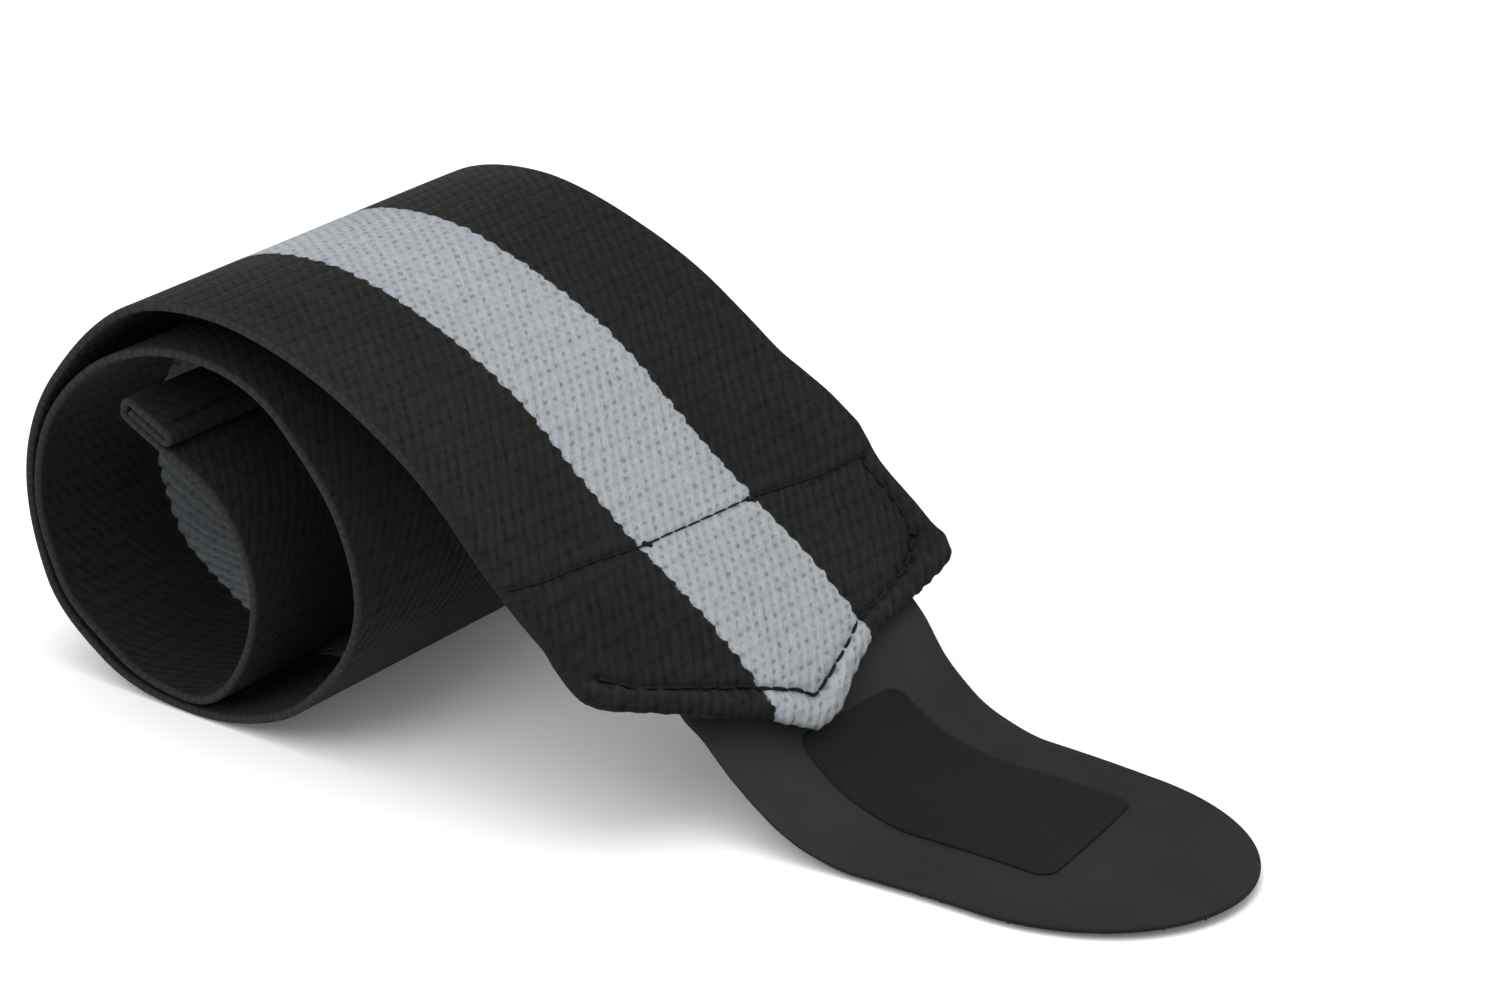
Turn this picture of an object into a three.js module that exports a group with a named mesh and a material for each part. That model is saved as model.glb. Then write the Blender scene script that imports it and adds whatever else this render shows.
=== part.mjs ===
import * as THREE from "three";

// Wrist wrap lying half unrolled. A long elastic band is rolled up from its
// inner end and its outer end drapes over the roll down to the surface, where
// a hook tab sewn under the pointed end lies flat.
//
// Frame while building, in mm: Y runs along the roll's axis, from the near
// selvedge at y = 0 to the far one, X points the way the tail drapes, Z is up
// and the surface is z = 0. The finished group is then moved so that its origin
// is the bottom centre of its bounding box.

// ---------------------------------------------------------------- main sizes
const BAND_WIDTH = 76;        // selvedge to selvedge
const BAND_THICK = 1.4;       // woven elastic
const ROW_STEP = 4;           // spacing of the band's cross rows
const HEM_LENGTH = 11;        // inner end, folded over twice and sewn
const HEM_RISE = 2.7;         // extra thickness of that hem on its outer face
const WARP_START = 400;       // from here the rows bend towards the pointed end
const TAB_THICK = 1.5;        // hook tape with its backing
const TAB_HALF_WIDTH = 24.5;
const TAB_TAPER = 1.4;        // how much narrower it is before the round end
const TAB_ROUND = 29.4;       // length of the round end
const TAB_CENTRE_Y = 40.8;
const PATCH_THICK = 0.6;
const STRAP_WIDTH = 9.5;      // thumb loop elastic
const STRAP_THICK = 1.2;
const STRAP_AT = 5.6;         // centre of the strap, along the band from its inner end
const GAP = 0.3;              // clearance between separate pieces

// ------------------------------------------------- route of the band's middle
// One row for each change of bend, from the inner end to the point of the tail:
// x, z of the middle surface and the heading there (degrees, 0 = +X, 90 = up).
const BAND_ROUTE = [
  // x, z, heading
  [-23.5, 46.6, -30],   // inner end, with its hem
  [-14.8, 42.3, -25],
  [-5.6, 37.9, -38],
  [0.0, 31.0, -66],
  [2.2, 22.0, -91],     // innermost turn, right
  [-0.8, 11.2, -118],
  [-12.0, 2.5, 180],    // innermost turn, bottom
  [-27.0, 6.2, 147],
  [-37.6, 15.0, 116],
  [-41.4, 28.5, 90],    // second turn, left
  [-36.2, 44.2, 52],
  [-24.0, 54.4, 27],
  [-8.5, 58.4, 0],      // second turn, top
  [9.6, 52.0, -44],
  [20.0, 39.2, -66],
  [22.7, 28.0, -90],    // second turn, right
  [17.2, 14.2, -130],
  [5.0, 4.3, -158],
  [-11.5, 0.7, 180],    // outer turn, bottom, on the surface
  [-29.4, 4.7, 148],
  [-40.2, 15.0, 112],
  [-43.1, 29.0, 90],    // outer turn, left
  [-36.4, 48.3, 52],
  [-22.6, 61.6, 33],
  [-5.0, 65.8, 0],      // outer turn, top
  [16.7, 60.8, -20],
  [38.0, 48.6, -42],    // tail
  [54.5, 36.0, -34],
  [68.0, 27.2, -40],
  [76.0, 20.2, -48],
  [79.8, 14.5, -62],    // point
];

// How the tail's two selvedges leave the middle's route, along its normal.
const TAIL_TWIST = [
  // s, near selvedge, far selvedge
  [0, 0, 0],
  [350, 0, 0],
  [365, 0, 0.2],
  [380, 0.3, 0.5],
  [398, -0.3, 0.4],
  [410, -0.2, 2.0],
  [416, -0.9, 3.2],
  [422, -2.3, 3.9],
  [428, -3.7, 4.3],
  [434, -4.6, 3.9],
  [440, -5.0, 2.8],
  [446, -4.6, 1.3],
  [452, -3.4, 0.3],
  [475, -1.0, 0.0],
];
const TWIST_POWER = 2.1;

// The pointed end in the flat: place across the band (0 near, 1 far) and length.
const POINTED_END = [
  // v, s
  [0.0, 441.5],
  [0.07, 448.7],
  [0.18, 453.8],
  [0.3, 458.2],
  [0.39, 462.0],
  [0.44, 463.9],
  [0.5, 463.3],
  [0.58, 459.7],
  [0.666, 456.6],
  [0.83, 454.7],
  [1.0, 448.0],
];

// Outer face of the folded hem at the inner end: length and height.
const HEM_SECTION = [
  // s, share of HEM_RISE
  [0, 0.55],
  [1, 1],
  [8.6, 1],
  [10.2, 0.75],
  [HEM_LENGTH, 0],
];

// --------------------------------------------- route of the hook tab's middle
const TAB_ROUTE = [
  // x, z, heading
  [53.2, 34.0, -34],    // sewn under the band at the cross stitch
  [66.4, 25.4, -40],
  [73.6, 19.0, -50],
  [78.4, 11.2, -57],    // comes out under the point
  [84.2, 5.7, -38],
  [91.5, 2.1, -16],
  [99.0, TAB_THICK / 2, 0],   // flat on the surface from here
  [146.5, TAB_THICK / 2, 0],
];
const TAB_TWIST = [
  // u, near edge, far edge
  [0, -2.2, 1.0],
  [16, -3.8, 1.2],
  [25, -4.6, -0.2],
  [33, -1.8, -0.8],
  [41, 0, 0],
  [200, 0, 0],
];

// Blank patch on the tab: its four corners, along the tab and across it.
const PATCH = {
  start: { u: 36.6, near: -9.4, far: 11.6 },
  end: { near: { u: 83.0, w: -9.4 }, far: { u: 78.9, w: 15.6 } },
};

// ------------------------------------------------------- thumb loop's route
// In the plane of the roll's axis and the hem's normal: y, height over the
// hem's middle, heading (0 = away along the axis). Both legs are sewn on the hem.
const LOOP_ROUTE = [
  // y, n, heading
  [57.0, 6.1, 0],
  [76.0, 6.4, 4],
  [95.0, 7.0, -6],
  [111.0, 2.0, -34],
  [118.6, -6.6, -94],
  [112.0, -11.6, -186],
  [98.0, -7.2, -212],
  [86.0, 1.2, -208],
  [76.0, 4.4, -186],
  [57.0, 4.5, -180],
];

// ------------------------------------------------------------------ functions
const rad = THREE.MathUtils.degToRad;

// A chain of cubic arcs through rows of (a, b, heading), measured by length.
class Route {
  constructor(rows, parts = 24) {
    const pts = [];
    for (let i = 0; i + 1 < rows.length; i++) {
      const [x0, z0, h0] = rows[i];
      const [x1, z1, h1] = rows[i + 1];
      const turn = rad(Math.abs(((h1 - h0 + 540) % 360 + 360) % 360 - 180));
      const chord = Math.hypot(x1 - x0, z1 - z0);
      const k = turn < 1e-3 ? chord / 3
        : ((4 / 3) * Math.tan(turn / 4) * chord) / (2 * Math.sin(turn / 2));
      const arc = new THREE.CubicBezierCurve(
        new THREE.Vector2(x0, z0),
        new THREE.Vector2(x0 + k * Math.cos(rad(h0)), z0 + k * Math.sin(rad(h0))),
        new THREE.Vector2(x1 - k * Math.cos(rad(h1)), z1 - k * Math.sin(rad(h1))),
        new THREE.Vector2(x1, z1));
      for (let j = 0; j < parts; j++) pts.push(arc.getPoint(j / parts));
    }
    const last = rows[rows.length - 1];
    pts.push(new THREE.Vector2(last[0], last[1]));
    this.pts = pts;
    this.at = [0];
    for (let i = 1; i < pts.length; i++) {
      this.at.push(this.at[i - 1] + pts[i].distanceTo(pts[i - 1]));
    }
    this.length = this.at[this.at.length - 1];
    this.dirs = pts.map((_, i) => pts[Math.min(i + 1, pts.length - 1)].clone()
      .sub(pts[Math.max(i - 1, 0)]).normalize());
  }

  // point and left-hand normal at length s; runs on straight past the end
  frame(s) {
    const at = this.at;
    let i = 1;
    while (i < at.length - 1 && at[i] < s) i++;
    const t = THREE.MathUtils.clamp((s - at[i - 1]) / (at[i] - at[i - 1]), 0, 1);
    const p = this.pts[i - 1].clone().lerp(this.pts[i], t);
    const d = this.dirs[i - 1].clone().lerp(this.dirs[i], t).normalize();
    const past = Math.max(s - this.length, 0);
    return { x: p.x + d.x * past, z: p.y + d.y * past, nx: -d.y, nz: d.x, tx: d.x, tz: d.y };
  }
}

// straight-line look-up in a table of rows sorted by their first column
function lookUp(rows, value, column) {
  if (value <= rows[0][0]) return rows[0][column];
  for (let i = 1; i < rows.length; i++) {
    if (value <= rows[i][0]) {
      const t = (value - rows[i - 1][0]) / (rows[i][0] - rows[i - 1][0]);
      return rows[i - 1][column] * (1 - t) + rows[i][column] * t;
    }
  }
  return rows[rows.length - 1][column];
}

// Closed solid between two grids of points that share their outline:
// upper(i, j) and lower(i, j) for i rows by j columns.
function sheetSolid(rows, cols, upper, lower) {
  const pos = [];
  const idx = [];
  const id = (side, i, j) => (side * rows + i) * cols + j;
  for (const side of [upper, lower]) {
    for (let i = 0; i < rows; i++) {
      for (let j = 0; j < cols; j++) pos.push(...side(i, j));
    }
  }
  const quad = (a, b, c, d) => idx.push(a, b, c, a, c, d);
  for (let i = 0; i + 1 < rows; i++) {
    for (let j = 0; j + 1 < cols; j++) {
      quad(id(0, i, j), id(0, i + 1, j), id(0, i + 1, j + 1), id(0, i, j + 1));
      quad(id(1, i, j), id(1, i, j + 1), id(1, i + 1, j + 1), id(1, i + 1, j));
    }
    quad(id(0, i + 1, 0), id(0, i, 0), id(1, i, 0), id(1, i + 1, 0));
    quad(id(0, i, cols - 1), id(0, i + 1, cols - 1), id(1, i + 1, cols - 1), id(1, i, cols - 1));
  }
  for (let j = 0; j + 1 < cols; j++) {
    quad(id(0, 0, j), id(0, 0, j + 1), id(1, 0, j + 1), id(1, 0, j));
    quad(id(0, rows - 1, j + 1), id(0, rows - 1, j), id(1, rows - 1, j), id(1, rows - 1, j + 1));
  }
  const geometry = new THREE.BufferGeometry();
  geometry.setAttribute("position", new THREE.Float32BufferAttribute(pos, 3));
  geometry.setIndex(idx);
  geometry.computeVertexNormals();
  return geometry;
}

// ----------------------------------------------------------------- wrap band
const bandRoute = new Route(BAND_ROUTE);
const bandTip = Math.max(...POINTED_END.map((row) => row[1]));

function bandPoint(s, v, offset) {
  const f = bandRoute.frame(s);
  const near = Math.pow(THREE.MathUtils.clamp((0.5 - v) / 0.5, 0, 1), TWIST_POWER);
  const far = Math.pow(THREE.MathUtils.clamp((v - 0.5) / 0.5, 0, 1), TWIST_POWER);
  const o = offset + lookUp(TAIL_TWIST, s, 1) * near + lookUp(TAIL_TWIST, s, 2) * far;
  return [f.x + f.nx * o, v * BAND_WIDTH, f.z + f.nz * o];
}

function bandGeometry() {
  const hemRows = HEM_SECTION.map((row) => row[0]);
  const count = Math.round((bandTip - HEM_LENGTH) / ROW_STEP);
  const lengths = [...hemRows];
  for (let i = 1; i <= count; i++) lengths.push(HEM_LENGTH + ((bandTip - HEM_LENGTH) * i) / count);
  const columns = POINTED_END.map((row) => row[0]);
  const along = (i, j) => {
    const s = lengths[i];
    if (s <= WARP_START) return s;
    return WARP_START + ((s - WARP_START) * (POINTED_END[j][1] - WARP_START)) / (bandTip - WARP_START);
  };
  const outer = (s) => BAND_THICK / 2 + HEM_RISE * (s >= HEM_LENGTH ? 0 : lookUp(HEM_SECTION, s, 1));
  return sheetSolid(lengths.length, columns.length,
    (i, j) => bandPoint(along(i, j), columns[j], outer(lengths[i])),
    (i, j) => bandPoint(along(i, j), columns[j], -BAND_THICK / 2));
}

// ------------------------------------------------------------------ hook tab
const tabRoute = new Route(TAB_ROUTE);

function tabPoint(u, y, offset) {
  const f = tabRoute.frame(u);
  const w = (y - TAB_CENTRE_Y) / TAB_HALF_WIDTH;
  const near = Math.pow(THREE.MathUtils.clamp(-w, 0, 1), 2);
  const far = Math.pow(THREE.MathUtils.clamp(w, 0, 1), 2);
  const o = offset + lookUp(TAB_TWIST, u, 1) * near + lookUp(TAB_TWIST, u, 2) * far;
  return [f.x + f.nx * o, y, f.z + f.nz * o];
}

function tabGeometry() {
  const roundFrom = tabRoute.length - TAB_ROUND;
  const lengths = [];
  for (let i = 0; i <= 24; i++) lengths.push((roundFrom * i) / 24);
  for (let i = 1; i <= 12; i++) lengths.push(roundFrom + TAB_ROUND * Math.sin(rad((i * 84) / 12)));
  const half = (u) => {
    const e = Math.max(0, (u - roundFrom) / TAB_ROUND);
    const taper = TAB_TAPER * THREE.MathUtils.clamp((u - 50) / (roundFrom - 50), 0, 1);
    return (TAB_HALF_WIDTH - taper) * Math.sqrt(1 - e * e);
  };
  const cols = 9;
  const y = (i, j) => TAB_CENTRE_Y + half(lengths[i]) * ((2 * j) / (cols - 1) - 1);
  return sheetSolid(lengths.length, cols,
    (i, j) => tabPoint(lengths[i], y(i, j), TAB_THICK / 2),
    (i, j) => tabPoint(lengths[i], y(i, j), -TAB_THICK / 2));
}

// --------------------------------------------------------------- blank patch
function patchGeometry() {
  const rows = 15;
  const cols = 5;
  const place = (i, j) => {
    const a = i / (rows - 1);
    const b = j / (cols - 1);
    const u0 = PATCH.start.u;
    const w0 = PATCH.start.near * (1 - b) + PATCH.start.far * b;
    const u1 = PATCH.end.near.u * (1 - b) + PATCH.end.far.u * b;
    const w1 = PATCH.end.near.w * (1 - b) + PATCH.end.far.w * b;
    return [u0 * (1 - a) + u1 * a, TAB_CENTRE_Y + w0 * (1 - a) + w1 * a];
  };
  const lift = TAB_THICK / 2 + GAP;
  return sheetSolid(rows, cols,
    (i, j) => tabPoint(...place(i, j), lift + PATCH_THICK),
    (i, j) => tabPoint(...place(i, j), lift));
}

// ---------------------------------------------------------------- thumb loop
const loopRoute = new Route(LOOP_ROUTE);

function loopGeometry() {
  const f = bandRoute.frame(STRAP_AT);
  const rows = 64;
  const point = (i, j, offset) => {
    const g = loopRoute.frame((loopRoute.length * i) / (rows - 1));
    const y = g.x + g.nx * offset;
    const n = g.z + g.nz * offset;
    const t = (j - 0.5) * STRAP_WIDTH;
    return [f.x + f.tx * t + f.nx * n, y, f.z + f.tz * t + f.nz * n];
  };
  return sheetSolid(rows, 2,
    (i, j) => point(i, 1 - j, STRAP_THICK / 2),
    (i, j) => point(i, 1 - j, -STRAP_THICK / 2));
}

// ------------------------------------------------------------------ assembly
const wrap = new THREE.Group();

function add(name, geometry, color, roughness) {
  const material = new THREE.MeshStandardMaterial({ color, roughness, metalness: 0 });
  const mesh = new THREE.Mesh(geometry, material);
  mesh.name = name;
  wrap.add(mesh);
}

add("wrap_band", bandGeometry(), 0x23211f, 0.92);
add("hook_tab", tabGeometry(), 0x3a3836, 0.85);
add("blank_patch", patchGeometry(), 0x262626, 0.7);
add("thumb_loop", loopGeometry(), 0x1e1d1c, 0.9);

const box = new THREE.Box3().setFromObject(wrap);
wrap.position.set(-(box.min.x + box.max.x) / 2, -(box.min.y + box.max.y) / 2, -box.min.z);
wrap.updateMatrixWorld(true);

export default wrap;
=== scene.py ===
import math
import bmesh
import bpy
import numpy as np
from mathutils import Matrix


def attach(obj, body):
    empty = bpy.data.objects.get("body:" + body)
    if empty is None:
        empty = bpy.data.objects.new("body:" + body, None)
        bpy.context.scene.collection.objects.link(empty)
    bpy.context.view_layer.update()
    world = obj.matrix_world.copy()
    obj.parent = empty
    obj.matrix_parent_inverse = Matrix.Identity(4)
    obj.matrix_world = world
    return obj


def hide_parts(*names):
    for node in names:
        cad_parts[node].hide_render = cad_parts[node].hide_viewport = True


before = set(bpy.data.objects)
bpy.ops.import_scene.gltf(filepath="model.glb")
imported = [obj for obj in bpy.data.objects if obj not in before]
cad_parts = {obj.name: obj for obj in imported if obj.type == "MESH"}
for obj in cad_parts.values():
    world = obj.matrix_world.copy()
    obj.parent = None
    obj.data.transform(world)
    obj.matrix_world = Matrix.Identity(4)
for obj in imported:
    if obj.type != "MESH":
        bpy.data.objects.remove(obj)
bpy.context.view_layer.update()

# Wrist wrap: rolled elastic band whose tail drapes over the roll, with a hook
# tab under its point. Tables are in mm in the same building frame as the CAD
# (y = 0 at the near selvedge) and SHIFT moves them to the row frame.
MM = 0.001
SHIFT = np.array([-51.296, -59.605, 0.0])
RNG = np.random.default_rng(7)

WIDTH = 76.0          # band, selvedge to selvedge
CLOTH = 1.32          # its thickness
TIP = 463.9           # length of the band at its point
WARP = 400.0          # rows bend towards the point from here
STRIPE = (25.6, 50.4)  # the woven stripe, across the band
PICK = 2.88           # weave repeat along the band
RIB = 2.04            # weave repeat across it

BAND_ROUTE = [
    (-23.5, 46.6, -30), (-14.8, 42.3, -25), (-5.6, 37.9, -38), (0.0, 31.0, -66), (2.2, 22.0, -91),
    (-0.8, 11.2, -118), (-12.0, 2.5, 180), (-27.0, 6.2, 147), (-37.6, 15.0, 116), (-41.4, 28.5, 90),
    (-36.2, 44.2, 52), (-24.0, 54.4, 27), (-8.5, 58.4, 0), (9.6, 52.0, -44), (20.0, 39.2, -66),
    (22.7, 28.0, -90), (17.2, 14.2, -130), (5.0, 4.3, -158), (-11.5, 0.7, 180), (-29.4, 4.7, 148),
    (-40.2, 15.0, 112), (-43.1, 29.0, 90), (-36.4, 48.3, 52), (-22.6, 61.6, 33), (-5.0, 65.8, 0),
    (16.7, 60.8, -20), (38.0, 48.6, -42), (54.5, 36.0, -34), (68.0, 27.2, -40), (76.0, 20.2, -48),
    (79.8, 14.5, -62)]                       # x, z, heading of the middle surface
TAIL_TWIST = [
    (0, 0, 0), (350, 0, 0), (365, 0, 0.2), (380, 0.3, 0.5), (398, -0.3, 0.5), (410, -0.2, 1.6),
    (416, -0.9, 2.9), (422, -1.6, 3.8), (427, -2.25, 3.9), (430, -2.5, 3.1), (433, -2.8, 1.9), (436, -3.8, 1.3),
    (440, -4.4, 1.05), (446, -3.9, 1.0), (452, -2.9, 0.45), (475, -1.0, 0.0)]   # s, near, far
POINTED_END = [
    (0.0, 440.4), (0.004, 442.3), (0.011, 444.0), (0.02, 445.0), (0.045, 446.6), (0.09, 449.0), (0.14, 451.6),
    (0.214, 455.1), (0.3, 458.2), (0.39, 462.0), (0.44, 463.9), (0.5, 463.3), (0.58, 459.7), (0.666, 456.8),
    (0.76, 455.2), (0.86, 454.0), (0.935, 453.0), (0.98, 452.2), (1.0, 451.3)]             # v across, s
TAB_ROUTE = [
    (53.2, 34.0, -34), (66.4, 25.4, -40), (73.6, 19.0, -50), (78.4, 11.2, -57), (84.2, 5.7, -38),
    (91.5, 2.1, -16), (99.0, 0.75, 0), (146.5, 0.75, 0)]
TAB_TWIST = [(0, -2.2, 1.0), (14, -3.6, 0.5), (24, -4.6, 0.4), (30, -2.8, 1.3), (38, -0.6, 1.8), (48, 0, 1.7),
            (62, 0, 1.5), (82, 0, 1.1), (200, 0, 0.6)]
TAB_Y, TAB_HALF, TAB_TAPER, TAB_ROUND, TAB_SKEW = 40.8, 24.5, 0.9, 29.4, 1.5
TAPE_TOP, TAPE_UNDER = 0.75, -0.02           # tape's two faces, from the tab's middle
PATCH = [(34.9, -10.1, 2.4), (81.2, -10.3, 2.6), (78.4, 15.4, 1.8), (58.0, 15.6, 14.0), (35.6, 13.0, 3.0)]   # u, from the centre line, corner
LOOP_ROUTE = [
    (57.0, 5.42, 0), (76.0, 5.6, 4), (95.0, 6.9, -6), (111.0, 2.0, -34), (118.6, -6.6, -94),
    (112.0, -11.6, -186), (98.0, -7.2, -212), (86.0, 1.2, -208), (76.0, 4.0, -186), (57.0, 4.12, -180)]
STRAP_AT, STRAP_WIDTH, STRAP = 5.6, 9.5, 1.15

# seams on the outer face of the tail: rows of (s, v)
CROSS_SEAM = [(423.6, 0.012), (425.0, 0.09), (425.6, 0.17), (426.3, 0.24), (427.6, 0.346), (428.3, 0.509),
              (428.9, 0.657), (430.5, 0.776), (431.4, 0.848), (431.8, 0.934), (432.4, 0.975)]
POINT_SEAM = [(441.0, 0.052), (444.6, 0.092), (448.2, 0.165), (451.4, 0.25), (454.2, 0.329), (457.5, 0.423),
              (459.2, 0.452), (459.0, 0.478), (456.6, 0.553), (455.2, 0.603), (453.2, 0.66), (451.9, 0.75),
              (450.2, 0.85), (446.6, 0.931)]
SIDE_SEAM = [(432.6, 0.955), (437.0, 0.956), (441.7, 0.95), (446.0, 0.933)]


# ---------------------------------------------------------------- functions
def ease(rows, x, col=1):
    """Monotone cubic through a table's rows."""
    t = np.array(rows, float)
    px, py = t[:, 0], t[:, col]
    d = np.diff(py) / np.diff(px)
    m = np.zeros(len(px))
    for i in range(1, len(px) - 1):
        if d[i - 1] * d[i] > 0:
            w1 = 2 * (px[i + 1] - px[i]) + px[i] - px[i - 1]
            w2 = px[i + 1] - px[i] + 2 * (px[i] - px[i - 1])
            m[i] = (w1 + w2) / (w1 / d[i - 1] + w2 / d[i])
    m[0], m[-1] = d[0], d[-1]
    x = np.clip(np.asarray(x, float), px[0], px[-1])
    i = np.clip(np.searchsorted(px, x, side="right") - 1, 0, len(px) - 2)
    h = px[i + 1] - px[i]
    u = (x - px[i]) / h
    return ((1 + 2 * u) * (1 - u) ** 2 * py[i] + u * (1 - u) ** 2 * h * m[i]
            + u * u * (3 - 2 * u) * py[i + 1] + u * u * (u - 1) * h * m[i + 1])


class Route:
    """A chain of cubic arcs through rows of (a, b, heading), measured by length."""

    def __init__(self, rows, parts=48):
        pts = []
        for (x0, z0, h0), (x1, z1, h1) in zip(rows, rows[1:]):
            turn = math.radians(abs((h1 - h0 + 180) % 360 - 180))
            chord = math.hypot(x1 - x0, z1 - z0)
            k = chord / 3 if turn < 1e-3 else (4 / 3) * math.tan(turn / 4) * chord / (2 * math.sin(turn / 2))
            a, b = math.radians(h0), math.radians(h1)
            p = np.array([[x0, z0], [x0 + k * math.cos(a), z0 + k * math.sin(a)],
                          [x1 - k * math.cos(b), z1 - k * math.sin(b)], [x1, z1]])
            t = np.linspace(0, 1, parts, endpoint=False)[:, None]
            pts.append((1 - t) ** 3 * p[0] + 3 * t * (1 - t) ** 2 * p[1] + 3 * t * t * (1 - t) * p[2] + t ** 3 * p[3])
        pts.append(np.array([rows[-1][:2]], float))
        self.q = np.vstack(pts)
        self.l = np.r_[0, np.cumsum(np.hypot(*np.diff(self.q, axis=0).T))]
        self.length = self.l[-1]
        g = np.gradient(self.q, axis=0)
        self.g = g / np.hypot(*g.T)[:, None]

    def frame(self, s):
        s = np.asarray(s, float)
        gx, gz = np.interp(s, self.l, self.g[:, 0]), np.interp(s, self.l, self.g[:, 1])
        n = np.hypot(gx, gz)
        gx, gz = gx / n, gz / n
        past = np.maximum(s - self.length, 0)
        return (np.interp(s, self.l, self.q[:, 0]) + gx * past,
                np.interp(s, self.l, self.q[:, 1]) + gz * past, -gz, gx)


band_route, tab_route, loop_route = Route(BAND_ROUTE), Route(TAB_ROUTE), Route(LOOP_ROUTE)


def band_xyz(s, y, off):
    """Point over the band at length s, y across it and off from the middle surface."""
    s, y, off = np.broadcast_arrays(np.asarray(s, float), np.asarray(y, float), np.asarray(off, float))
    v = y / WIDTH
    x, z, nx, nz = band_route.frame(s)
    near = np.clip((0.5 - v) / 0.5, 0, 1) ** 2.1
    far = np.clip((v - 0.5) / 0.5, 0, 1) ** 2.1
    o = off + ease(TAIL_TWIST, s, 1) * near + ease(TAIL_TWIST, s, 2) * far
    return np.stack([x + nx * o, y, z + nz * o], -1)


def tab_xyz(u, y, off):
    u, y, off = np.broadcast_arrays(np.asarray(u, float), np.asarray(y, float), np.asarray(off, float))
    x, z, nx, nz = tab_route.frame(u)
    w = (y - TAB_Y) / TAB_HALF
    o = off + ease(TAB_TWIST, u, 1) * np.clip(-w, 0, 1) ** 2 + ease(TAB_TWIST, u, 2) * np.clip(w, 0, 1) ** 2
    o = o + 0.7 * np.clip((u - 80) / 26, 0, 1) ** 2          # the round end lifts a little
    t = np.clip((u - 40) / 35, 0, 1)
    return np.stack([x + nx * o, y + TAB_SKEW * t * t * (3 - 2 * t), z + nz * o], -1)


def path_distance(s, y, seam):
    """Distance in the flat from (s, y) to a seam, and the length along the seam."""
    p = np.array([(a, b * WIDTH) for a, b in seam], float)
    best = np.full(np.shape(s), 1e9)
    along = np.zeros(np.shape(s))
    run = 0.0
    for a, b in zip(p, p[1:]):
        d = b - a
        ll = float(np.hypot(*d))
        t = np.clip(((s - a[0]) * d[0] + (y - a[1]) * d[1]) / ll ** 2, 0, 1)
        e = np.hypot(s - a[0] - t * d[0], y - a[1] - t * d[1])
        along = np.where(e < best, run + t * ll, along)
        best = np.minimum(best, e)
        run += ll
    return best, along


def build(name, co, faces, flat=None, smooth=True):
    """A mesh object from points in mm in the building frame."""
    me = bpy.data.meshes.new(name)
    co = (np.asarray(co, float) + SHIFT) * MM
    me.from_pydata(co.tolist(), [], faces)
    bm = bmesh.new()
    bm.from_mesh(me)
    bmesh.ops.recalc_face_normals(bm, faces=bm.faces)
    bm.to_mesh(me)
    bm.free()
    me.update()
    if flat is not None:
        a = me.attributes.new("flat", "FLOAT_VECTOR", "POINT")
        a.data.foreach_set("vector", np.asarray(flat, np.float32).ravel())
    me.polygons.foreach_set("use_smooth", [smooth] * len(me.polygons))
    ob = bpy.data.objects.new(name, me)
    bpy.context.scene.collection.objects.link(ob)
    return ob


def ring_faces(rows, ring, start=0):
    """Quads of a closed ring of points swept along rows."""
    i, j = np.meshgrid(np.arange(rows - 1), np.arange(ring), indexing="ij")
    k = (j + 1) % ring
    f = np.stack([i * ring + j, i * ring + k, (i + 1) * ring + k, (i + 1) * ring + j], -1).reshape(-1, 4) + start
    return f


# -------------------------------------------------------------------- band
def end_at(y):
    y = np.asarray(y, float)
    wobble = 0.16 * np.sin(2.13 * y + 0.8 * np.sin(y / 4.7)) * np.clip(np.minimum(y - 1, WIDTH - 1 - y) / 4, 0, 1)
    return ease(POINTED_END, y / WIDTH) + wobble


def hem_path():
    """Twice-folded hem: (length on the cloth, a along the band, height) of its middle."""
    lay = CLOTH + 0.05
    rows = []
    q = 0.0
    for a in np.arange(2.7, 9.61, 0.86):
        rows.append((a - 2.7, a, lay))
    q = rows[-1][0]
    a0 = rows[-1][1]
    r = lay / 2
    for k in range(1, 9):
        t = math.pi * k / 8
        rows.append((q + r * t, a0 + r * math.sin(t) * 1.05, lay + r - r * math.cos(t)))
    q = rows[-1][0]
    back = np.arange(a0 - 0.85, 2.2, -0.85)
    for a in back:
        rows.append((q + a0 - a, a, 2 * lay + 0.10 * math.sin(math.pi * (a - 2.2) / 7.4)))
    q, a0 = rows[-1][0], rows[-1][1]
    if a0 > 2.06:
        rows.append((q + a0 - 2.05, 2.05, 2 * lay))
        q = rows[-1][0]
    for k in range(1, 14):
        t = math.pi * k / 14
        pinch = 0.34 * math.exp(-((t - 1.85) / 0.26) ** 2)
        rows.append((q + lay * t, 2.05 - (lay - pinch) * math.sin(t), lay + lay * math.cos(t)))
    q += lay * math.pi
    rows.append((q, 2.05, 0.0))
    return [(c - q + 2.05, a, h) for c, a, h in rows]


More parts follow.
